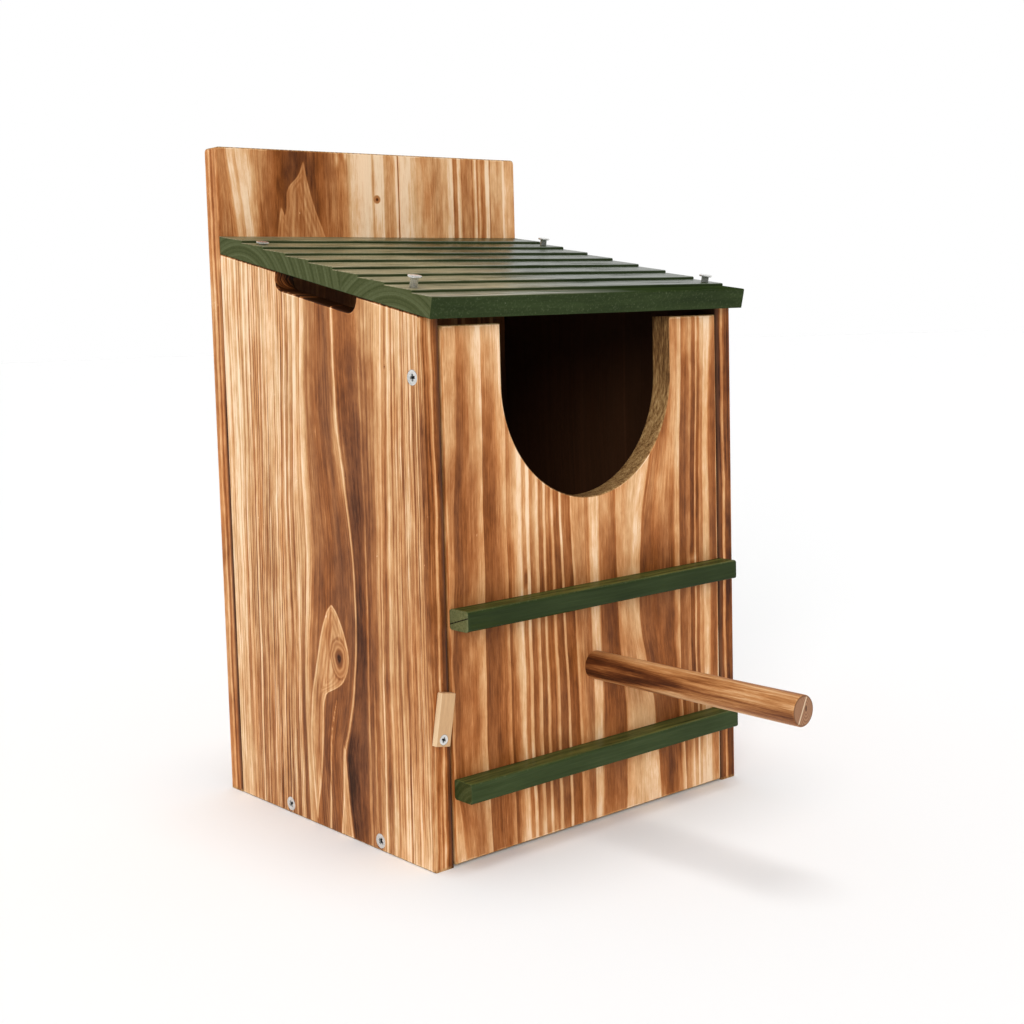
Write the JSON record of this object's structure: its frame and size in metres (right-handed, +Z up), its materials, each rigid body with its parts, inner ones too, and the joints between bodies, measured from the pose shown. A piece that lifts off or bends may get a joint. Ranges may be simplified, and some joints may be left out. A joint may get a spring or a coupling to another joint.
{
  "type": "owl nest box",
  "caption": "Wooden nest box for owls with a sloping stepped roof, a wide entrance with a round bottom, a perch and a front panel that swings up when a turn button lets it go.",
  "frame": {"origin": "on the ground, under the middle of the whole object, perch included", "axes": "+X to the right along the front, +Y from the front to the back board, +Z up"},
  "size_m": [0.224, 0.314, 0.366],
  "materials": {
    "scorched_wood": "flame-scorched softwood, open grain",
    "green_stain": "dark green wood stain, satin",
    "perch_wood": "scorched dowel, worn",
    "pale_wood": "bare planed softwood",
    "zinc_steel": "zinc plated, dull"
  },
  "bodies": {
    "box": {"back_board": "scorched_wood", "left_side": "scorched_wood", "right_side": "scorched_wood", "floor_board": "scorched_wood", "roof_board": "green_stain", "turn_button_screw": "zinc_steel", "left_pivot_screw": "zinc_steel", "right_pivot_screw": "zinc_steel", "left_floor_screw_front": "zinc_steel", "left_floor_screw_back": "zinc_steel", "right_floor_screw_front": "zinc_steel", "right_floor_screw_back": "zinc_steel", "left_back_screw_low": "zinc_steel", "left_back_screw_high": "zinc_steel", "right_back_screw_low": "zinc_steel", "right_back_screw_high": "zinc_steel", "left_roof_nail_front": "zinc_steel", "left_roof_nail_back": "zinc_steel", "right_roof_nail_front": "zinc_steel", "right_roof_nail_back": "zinc_steel"},
    "door": {"front_panel": "scorched_wood", "upper_batten": "green_stain", "lower_batten": "green_stain", "perch": "perch_wood", "perch_screw": "zinc_steel", "upper_batten_nail_left": "zinc_steel", "upper_batten_nail_right": "zinc_steel", "lower_batten_nail_left": "zinc_steel", "lower_batten_nail_right": "zinc_steel"},
    "button": {"turn_button": "pale_wood"}
  },
  "joints": [
    {"name": "door_pivot", "type": "hinge", "parent": "box", "child": "door", "pos_m": [0, -0.021, 0.24], "axis": [-1, 0, 0], "range_deg": [0, 139]},
    {"name": "button_pivot", "type": "hinge", "parent": "box", "child": "button", "pos_m": [-0.107, -0.0273, 0.066], "axis": [0, 1, 0], "continuous": true}
  ]
}
